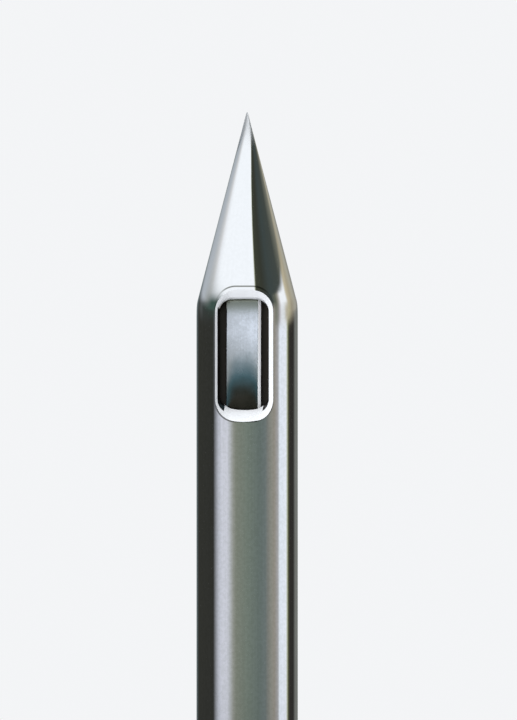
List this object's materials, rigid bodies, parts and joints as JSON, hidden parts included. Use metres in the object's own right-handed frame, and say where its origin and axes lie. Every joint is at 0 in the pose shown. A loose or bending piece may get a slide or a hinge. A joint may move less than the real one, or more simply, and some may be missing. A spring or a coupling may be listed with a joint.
{
  "type": "spinal needle",
  "caption": "Spinal needle with a ground pencil point and a bevelled side port, its stylet seated through a clear winged hub and an orange cap; it stands on the cap, point up.",
  "frame": {"origin": "middle of the stylet cap's end face, on which the needle stands", "axes": "+Z along the cannula towards the point, -Y the way that the side port faces, X across the wings"},
  "size_m": [0.018, 0.0088, 0.1236],
  "materials": {
    "cannula_steel": "drawn and polished stainless tube, the point and the port's edge ground bright",
    "stylet_steel": "drawn stainless wire with a ground flat behind the port",
    "clear_hub": "clear moulded polycarbonate, glossy",
    "orange_cap": "moulded polypropylene, satin",
    "adhesive": "cured clear adhesive, slightly yellow"
  },
  "bodies": {
    "stylet": {"stylet_wire": "stylet_steel", "stylet_cap": "orange_cap", "stylet_bond": "adhesive"},
    "needle": {"cannula_tube": "cannula_steel", "point_core": "cannula_steel", "needle_hub": "clear_hub", "cannula_bond": "adhesive"}
  },
  "joints": [
    {"name": "stylet_withdrawal", "type": "slide", "parent": "stylet", "child": "needle", "axis": [0, 0, 1], "range_m": [0, 0.115]}
  ]
}
